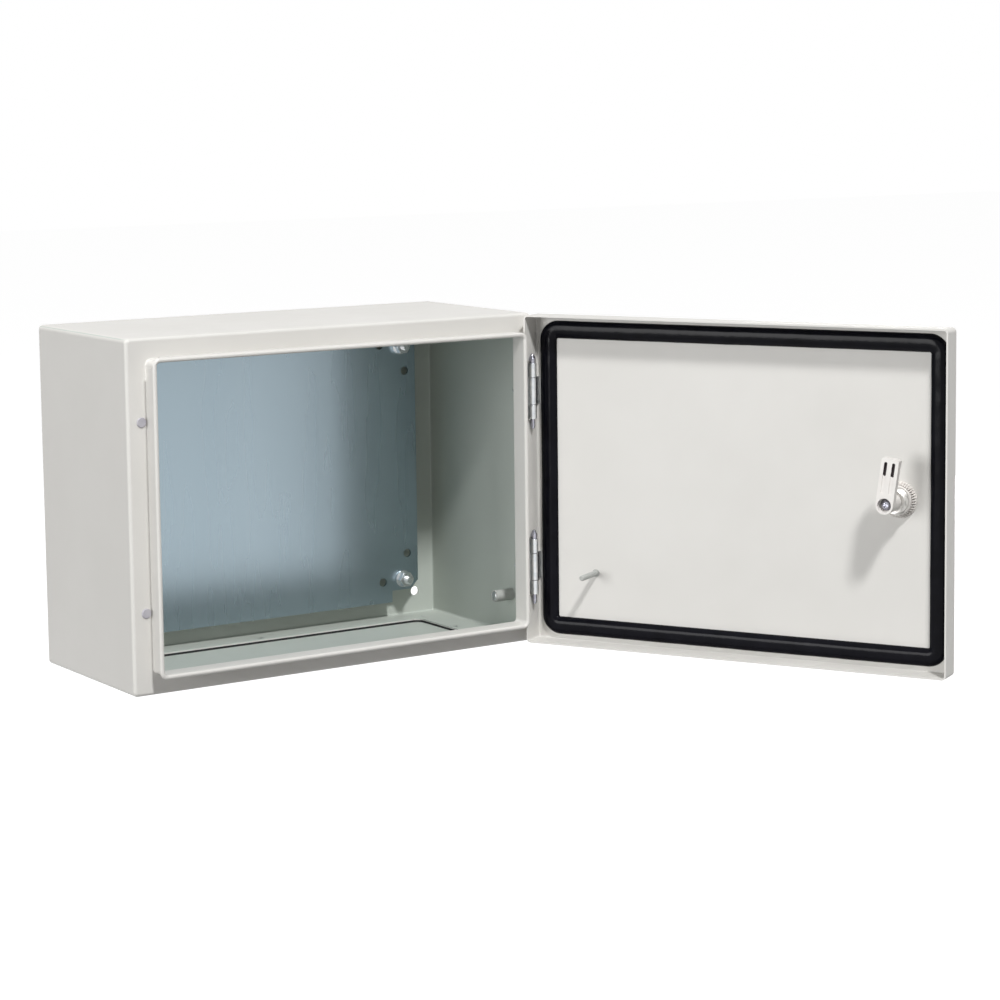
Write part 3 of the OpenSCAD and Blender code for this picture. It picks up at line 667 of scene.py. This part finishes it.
low, high = (np.array(v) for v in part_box("plate_studs"))
collar_r = 7 * MM
plate_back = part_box("mounting_plate")[1].y
stud_spots = [
    (x, high[1], z)
    for x in (low[0] + collar_r, high[0] - collar_r)
    for z in (low[2] + collar_r, high[2] - collar_r)
]
stud_parts = [
    stud_points(spot, (0, -1, 0), (1, 0, 0), (collar_r, high[1] - plate_back),
                (4 * MM, high[1] - low[1]), 1.25 * MM)
    for spot in stud_spots
]
add_piece("plate_studs_threaded", *joined(stud_parts), zinc, "cabinet", "zinc_steel",
          ["plate_studs"])

low, high = (np.array(v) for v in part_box("body_earth_stud"))
foot = (high[0], (low[1] + high[1]) / 2, (low[2] + high[2]) / 2)
add_piece("body_stud_threaded",
          *stud_points(foot, (-1, 0, 0), (0, 1, 0), (5 * MM, 1 * MM),
                       (4 * MM, high[0] - low[0]), 1.25 * MM),
          zinc, "cabinet", "zinc_steel", ["body_earth_stud"])
# The sleeve's profile in millimetres: outer wall, chamfer, flat end, chamfer, bore.
tip = 1000 * (high[0] - low[0])
sleeve = np.array([(5.4, 1.0), (5.4, tip - 0.8), (5.0, tip - 0.4),
                   (4.5, tip - 0.4), (4.05, tip - 0.8), (4.05, 1.0)]) * MM
add_piece("earth_sleeve", turned(sleeve, 48, foot, (-1, 0, 0), (0, 1, 0)),
          grid_faces(len(sleeve), 48, True, True), matte, "cabinet", "zinc_steel")

low, high = reach("door_earth_stud", inward, hinge_at)
u = sum(reach("door_earth_stud", along, hinge_at)) / 2
z = sum(reach("door_earth_stud", UP, hinge_at)) / 2
add_piece("door_stud_threaded",
          *stud_points(hinge_at + u * along + z * UP + low * inward, inward, along,
                       (3.5 * MM, 0.8 * MM), (2.5 * MM, high - low), 0.8 * MM, 20),
          matte, "door", "zinc_steel", ["door_earth_stud"])

# %% [markdown]
# ## The lock's barrel and nut
#
# The barrel is a zinc casting with a fine thread, held in the door by a nut that has
# wedges all round, so that it can be tightened by hand in the narrow tray. Wedges are
# teeth whose height depends only on the angle, so they run straight up the sloping flank.

# %% Barrel
BARREL_R = 11 * MM
BORE_R = 6.5 * MM


def lock_barrel():
    """Collar outside the door, then a barrel with a thread of pitch 1.5 mm and depth 0.7 mm."""
    front, end = reach("lock_housing", inward, lock_at)
    face = -0.8 * MM
    steps = 90
    rows = np.linspace(face + 1 * MM, end - 0.9 * MM, steps)
    profile = np.concatenate([
        [(BORE_R + 1 * MM, front), (14 * MM, front), (15 * MM, front + 1 * MM), (15 * MM, face)],
        [(BARREL_R - 0.8 * MM, face)],
        np.stack([np.full(steps, BARREL_R), rows], 1),
        [(BARREL_R - 1 * MM, end), (BORE_R, end), (BORE_R, front + 6 * MM)],
        [(BORE_R + 1 * MM, front + 6 * MM)],
    ])

    def shape(r, h, a):
        """The barrel's rows lose the thread's depth; the collar and the bore stay."""
        cut = 0.7 * MM * (1 - thread_height(h, a, 1.5 * MM))
        return np.where(np.isclose(r, BARREL_R), r - cut, r)

    points = turned(profile, 72, lock_at, inward, UP, shape)
    return add_piece("lock_barrel", points, grid_faces(len(profile), 72, True, True), diecast,
                     "door", "zinc_diecast", ["lock_housing"])


lock_barrel()


# %% Nut with wedges
def lock_ring():
    """A ring nut: flat foot, a flank with 40 wedges, a plain hub round the bore.

    On the flank, radius = root + (flank radius - root) * w, where w is a wave of the angle
    that is cut off flat at 0 and 1, so wedge and gap have flat crests and sloping sides.
    """
    teeth, per_tooth = 40, 10
    low, high = reach("lock_nut", inward, lock_at)
    foot, flank = low + 1.6 * MM, high - 1.8 * MM
    root = BARREL_R + 2.2 * MM
    top = BARREL_R + 2.8 * MM
    rows = np.linspace(0.0, 1.0, 5)
    profile = np.concatenate([
        [(BARREL_R, low), (15.6 * MM, low), (16 * MM, low + 0.4 * MM), (16 * MM, foot)],
        np.stack([16 * MM + (top - 16 * MM) * rows, foot + (flank - foot) * rows], 1),
        [(BARREL_R + 2 * MM, flank), (BARREL_R + 2 * MM, high - 0.5 * MM)],
        [(BARREL_R + 1.5 * MM, high), (BARREL_R + 0.4 * MM, high), (BARREL_R, high - 0.4 * MM)],
    ])
    toothed = np.zeros((len(profile), 1), bool)
    toothed[4:9] = True

    def shape(r, h, a):
        """Only the flank's rows follow the wave of the wedges."""
        wave = np.clip(0.5 + 1.1 * np.cos(teeth * a), 0.0, 1.0)
        return np.where(toothed, root + (r - root) * wave, r)

    around = teeth * per_tooth
    points = turned(profile, around, lock_at, inward, UP, shape)
    piece = add_piece("lock_ring", points, grid_faces(len(profile), around, True, True),
                      light_plastic, "door", "light_plastic", ["lock_nut"])
    # Painted shade: faces at the roots of the wedges take the darker plastic.
    centres = centres_and_normals(piece.data)[0]
    height = (centres - lock_at) @ inward
    radius = np.linalg.norm(centres - lock_at - height[:, None] * inward, axis=1)
    valley = (height > foot) & (height < flank) & (np.abs(radius - root) < 0.2 * MM)
    piece.data.materials.append(painted_shade_plastic)
    piece.data.polygons.foreach_set("material_index", valley.astype(np.int32))
    return piece


lock_ring()

# %% [markdown]
# ## Broken edges
#
# No real edge is sharp: castings, pressings and plastic catch a thin line of light along
# a tiny radius. A CAD part's mesh is loose triangles, so a copy of it is merged first, its
# flat faces are joined again, and a Bevel modifier then rounds what is still sharp.

# %% Softened copies of CAD parts
def softened(node, name, width, material, body, painted_shade=None):
    """A merged copy of a CAD part with its edges broken by a bevel of the given width.

    The last argument, if given, is (test, material): faces whose centre passes the test take
    that material, which paints shade on them.
    """
    mesh = frame["nodes"][node].data.copy()
    shell = bmesh.new()
    shell.from_mesh(mesh)
    bmesh.ops.remove_doubles(shell, verts=shell.verts, dist=2e-6)
    bmesh.ops.dissolve_limit(shell, angle_limit=math.radians(1.5), verts=shell.verts,
                             edges=shell.edges)
    shell.to_mesh(mesh)
    shell.free()
    mesh.materials.clear()
    mesh.materials.append(material)
    if painted_shade is not None:
        inside = painted_shade[0](*centres_and_normals(mesh))
        mesh.materials.append(painted_shade[1])
        mesh.polygons.foreach_set("material_index", inside.astype(np.int32))
    mesh.shade_smooth()
    piece = bpy.data.objects.new(name, mesh)
    scene.collection.objects.link(piece)
    bevel = piece.modifiers.new("bevel", "BEVEL")
    bevel.width = width
    bevel.segments = 2
    bevel.limit_method = "ANGLE"
    bevel.angle_limit = math.radians(35)
    even = piece.modifiers.new("weighted normal", "WEIGHTED_NORMAL")
    even.keep_sharp = False
    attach(piece, body)
    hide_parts(node)
    print(name, len(mesh.polygons), "faces before its bevel")
    return piece


TONGUE_LEAN = math.radians(8)
SLOT_OFFSET = 3.5 * MM
SLOT_MIDDLE = 31 * MM
tip_way = math.cos(TONGUE_LEAN) * UP + math.sin(TONGUE_LEAN) * along
side_way = math.cos(TONGUE_LEAN) * along - math.sin(TONGUE_LEAN) * UP


def in_slots(centres, normals):
    """Faces inside the two slots near the tongue's tip."""
    up_tongue = (centres - lock_at) @ tip_way
    off_middle = np.abs((centres - lock_at) @ side_way)
    upright = np.abs(normals @ inward) < 0.5
    return (
        (np.abs(up_tongue - SLOT_MIDDLE) < 6.5 * MM)
        & (np.abs(off_middle - SLOT_OFFSET) < 1.6 * MM) & upright
    )


def painted_shade_slot_webs():
    """Two thin dark webs across the slots, as painted shade: a slot's outline, filled, 2.6 mm below the face.

    The outline is a circle of the slot's half width, with its upper half moved up and its
    lower half moved down by half of the slot's straight length.
    """
    face = reach("lock_cam", inward, lock_at)[1]
    half_width, half_straight, around = 1.45 * MM, 4.6 * MM, 32
    angle = np.linspace(0.0, 2 * math.pi, around, endpoint=False)
    up = half_width * np.sin(angle) + half_straight * np.where(angle < math.pi, 1.0, -1.0)
    side = half_width * np.cos(angle)
    size = np.array((0.0, 1.0, 1.0, 0.0))[:, None, None]
    depth = np.array((2.6, 2.6, 3.1, 3.1))[:, None, None] * MM
    parts = []
    for middle in (-SLOT_OFFSET, SLOT_OFFSET):
        points = (
            lock_at + SLOT_MIDDLE * tip_way + middle * side_way + (face - depth) * inward
            + size * (up[None, :, None] * tip_way + side[None, :, None] * side_way)
        )
        parts.append((points.reshape(-1, 3), grid_faces(len(size), around, False, True)))
    return add_piece("painted_shade_slot_webs", *joined(parts), painted_shade_recess, "lock", "light_plastic")


# Painted shade: the tongue's slot walls take the dark recess material, and dark webs fill the slots below the
# face.
softened("lock_cam", "lock_tongue", 0.35 * MM, light_plastic, "lock",
         (in_slots, painted_shade_recess))
painted_shade_slot_webs()
softened("lock_screw", "lock_screw_head", 0.15 * MM, bright, "lock")
softened("plate_nuts", "plate_nuts_soft", 0.2 * MM, zinc, "cabinet")
softened("plate_washers", "plate_washers_soft", 0.2 * MM, zinc, "cabinet")
for which in ("upper", "lower"):
    softened("hinge_bracket_" + which, "hinge_strap_" + which, 0.5 * MM, zinc,
             "cabinet")
    softened("hinge_leaf_" + which, "hinge_wing_" + which, 0.5 * MM, zinc, "door")
